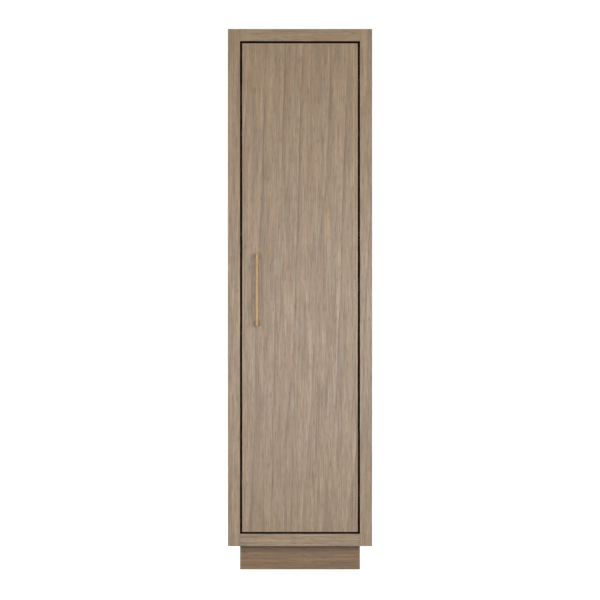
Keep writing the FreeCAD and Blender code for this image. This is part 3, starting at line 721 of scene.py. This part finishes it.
def peg_pattern(width, height, reach):
    """An upright shelf peg: the shank below z = 0, a thin collar and a tab with a rounded tip above it."""
    shank = round_bar("shank", height / 2 * PEG_FIT, -PEG_SHANK, PEG_COLLAR)
    soften(shank, PEG_EDGE_ROUND * 2, level_at(-PEG_SHANK))
    collar = round_bar("collar", PEG_COLLAR_RADIUS, 0, PEG_COLLAR)
    soften(collar, PEG_EDGE_ROUND / 2, level_at(PEG_COLLAR))
    tab = block("tab", (-height / 2, -width / 2, 0), (height / 2, width / 2, reach))
    at_tip = level_at(reach)
    soften(tab, PEG_TIP_ROUND, lambda edge: at_tip(edge) and abs(
        edge.verts[0].co.x - edge.verts[1].co.x) > MERGE_DISTANCE, segments=5)
    soften(tab, PEG_EDGE_ROUND, lambda edge: edge.calc_face_angle(0) > SHARP_EDGE, segments=2)
    return joined("peg", [clean(shank), clean(collar), clean(tab)])


def shelf_pegs():
    """A peg in the place of each one in the CAD."""
    parts = loose_parts("shelf_pegs")
    low, high = parts[0]
    pattern = peg_pattern(high.y - low.y, high.z - low.z, high.x - low.x - PEG_SHANK)
    copies = []
    for low, high in parts:
        middle = (low + high) / 2
        inward = -math.copysign(1, middle.x)
        wall = (low.x if inward > 0 else high.x) + inward * PEG_SHANK
        copies.append(copy_to(pattern, (wall, middle.y, middle.z), (inward, 0, 0)))
    bpy.data.objects.remove(pattern)
    fit(joined("nickel_shelf_pegs", copies), "carcass", "nickel_steel", NICKEL, "shelf_pegs")


def bumpers():
    """Two domed rubber buttons that the door closes on."""
    parts = loose_parts("door_bumpers")
    low, high = parts[0]
    thickness = high.y - low.y
    button = round_bar("button", (high.x - low.x) / 2, 0, thickness)
    soften(button, thickness * BUMPER_DOME, level_at(thickness), segments=6)
    clean(button)
    copies = []
    for low, high in parts:
        middle = (low + high) / 2
        copies.append(copy_to(button, (middle.x, high.y, middle.z), (0, -1, 0)))
    bpy.data.objects.remove(button)
    fit(joined("rubber_bumpers", copies), "carcass", "clear_rubber", RUBBER, "door_bumpers")


# Hinges

PRESSED_ROUND = 0.0004
PRESSED_ANGLE = math.radians(40)
FLAT_ANGLE = math.radians(1)


def pressed_steel(node, name, body):
    """A hinge piece as it comes from the press: the CAD shape with its edges rounded."""
    deselect()
    piece = solids[node].copy()
    piece.data = solids[node].data.copy()
    piece.parent = None
    bpy.context.collection.objects.link(piece)
    piece.name = name
    choose(piece, "FACE", everything)
    bpy.ops.mesh.remove_doubles(threshold=MERGE_DISTANCE)
    bpy.ops.mesh.dissolve_limited(angle_limit=FLAT_ANGLE)
    deselect()
    bpy.context.view_layer.objects.active = piece
    rounding = piece.modifiers.new("rounding", "BEVEL")
    rounding.width = PRESSED_ROUND
    rounding.segments = 2
    rounding.angle_limit = PRESSED_ANGLE
    bpy.ops.object.modifier_apply(modifier=rounding.name)
    clean(piece)
    fit(piece, body, "black_steel", BLACK_STEEL, node)


# Fittings in their places

BACKWARDS = (0, 1, 0)
DOWNWARDS = (0, 0, -1)
INWARDS = (-1, 0, 0)

pull_bar()
pull_foot("lower")
pull_foot("upper")
set_screws("back_screws", "back_panel_screws", BACKWARDS, COUNTERSUNK, THIN_SHANK,
           "carcass", "zinc_steel", ZINC)
set_screws("pull_cross_screws", "pull_screws", BACKWARDS, THICK_HEAD, MIDDLE_SHANK,
           "door", "zinc_steel", ZINC)
set_screws("plinth_cross_screws", "plinth_screws", DOWNWARDS, THICK_HEAD, MIDDLE_SHANK,
           "carcass", "zinc_steel", ZINC)
set_screws("hinge_plate_cross_screws", "hinge_plate_screws", INWARDS, THIN_HEAD, MIDDLE_SHANK,
           "carcass", "black_steel", BLACK_STEEL)
set_screws("hinge_clamp_cross_screws", "hinge_arm_screws", INWARDS, THICK_HEAD, THICK_SHANK,
           "carcass", "black_steel", BLACK_STEEL)
set_screws("hinge_cup_cross_screws", "hinge_cup_screws", BACKWARDS, THIN_HEAD, THIN_SHANK,
           "door", "black_steel", BLACK_STEEL)
levelling_feet()
shelf_pegs()
bumpers()
for hinge in ("lower", "middle", "upper"):
    pressed_steel("hinge_cup_" + hinge, "pressed_cup_" + hinge, "door")
    pressed_steel("hinge_arm_" + hinge, "pressed_arm_" + hinge, "carcass")
    pressed_steel("hinge_plate_" + hinge, "pressed_plate_" + hinge, "carcass")


# Studio

FRONT_SPAN = 1.8998
CAMERA_DISTANCE = 10.0
CAMERA_HEIGHT = 0.8567
CAMERA_REACH = 100
SENSOR_MILLIMETRES = 36
WHITE = (1, 1, 1, 1)
WHITE_LIGHT = 0.42
WHITE_SEEN = 1.05
FLOOR_SIZE = 60
FLOOR_GREY = (0.3, 0.3, 0.3, 1)
FLOOR_ROUGHNESS = 0.9
FLOOR_LIGHT = 0.1
FLOOR_SEEN = 0.95


def studio_camera():
    """A long lens, level and straight in front of the door, that spans a width at the front."""
    camera = bpy.data.objects.new("camera", bpy.data.cameras.new("camera"))
    camera.data.sensor_width = SENSOR_MILLIMETRES
    camera.data.lens = SENSOR_MILLIMETRES * CAMERA_DISTANCE / FRONT_SPAN
    camera.data.clip_end = CAMERA_REACH
    camera.location = (0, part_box("frame_rail_top")[0].y - CAMERA_DISTANCE, CAMERA_HEIGHT)
    camera.rotation_euler = (math.pi / 2, 0, 0)
    bpy.context.collection.objects.link(camera)
    bpy.context.scene.camera = camera


def softbox(name, place, aim, size, power, glossy=True, diffuse=True):
    """A large soft lamp aimed at a point. The camera doesn't see it."""
    lamp = bpy.data.objects.new(name, bpy.data.lights.new(name, "AREA"))
    lamp.data.shape = "RECTANGLE"
    lamp.data.size, lamp.data.size_y = size
    lamp.data.energy = power
    lamp.location = place
    lamp.rotation_euler = (Vector(aim) - Vector(place)).to_track_quat("-Z", "Y").to_euler()
    lamp.visible_camera = False
    lamp.visible_glossy = glossy
    lamp.visible_diffuse = diffuse
    bpy.context.collection.objects.link(lamp)


def seen_or_lit(tree, lit, seen):
    """One strength for what the camera sees and another for the light that falls on the cabinet."""
    path = tree.nodes.new("ShaderNodeLightPath")
    return spread(tree, path.outputs["Is Camera Ray"], (0, 1), (lit, seen))


def white_surroundings():
    """White all round: seen as white, and lighting the cabinet softly."""
    world = bpy.data.worlds.new("white_surroundings")
    world.use_nodes = True
    tree = world.node_tree
    background = tree.nodes["Background"]
    background.inputs["Color"].default_value = WHITE
    fill(tree, background.inputs["Strength"], seen_or_lit(tree, WHITE_LIGHT, WHITE_SEEN))
    bpy.context.scene.world = world


def pale_floor():
    """A wide white floor. It looks white to the camera and lights the cabinet less."""
    deselect()
    bpy.ops.mesh.primitive_plane_add(size=FLOOR_SIZE, location=(0, 0, 0))
    floor = bpy.context.object
    floor.name = "floor"
    finish, tree, shader = new_finish("floor_white")
    shader.inputs["Base Color"].default_value = FLOOR_GREY
    shader.inputs["Roughness"].default_value = FLOOR_ROUGHNESS
    shader.inputs["Emission Color"].default_value = WHITE
    fill(tree, shader.inputs["Emission Strength"], seen_or_lit(tree, FLOOR_LIGHT, FLOOR_SEEN))
    floor.data.materials.append(finish)


studio_camera()
white_surroundings()
softbox("front_softbox", place=(0.15, -3.2, 0.68), aim=(0.05, 0, 0.75), size=(1.0, 1.0),
        power=36, diffuse=False)
for hand, across, power in (("right", 1.8, 45), ("left", -1.8, 28)):
    softbox(hand + "_softbox", place=(across, -3.3, 1.15), aim=(0, 0, 0.85), size=(1.2, 1.5),
            power=power, glossy=False)
for hand, place, power in (("left", (-3.2, 1.6, 1.9), 75), ("right", (2.6, 2.8, 1.9), 50)):
    softbox("rear_" + hand + "_softbox", place, aim=(0, 0, 0.9), size=(1.2, 1.2), power=power, glossy=False)
pale_floor()
bpy.context.scene.view_settings.view_transform = "Standard"
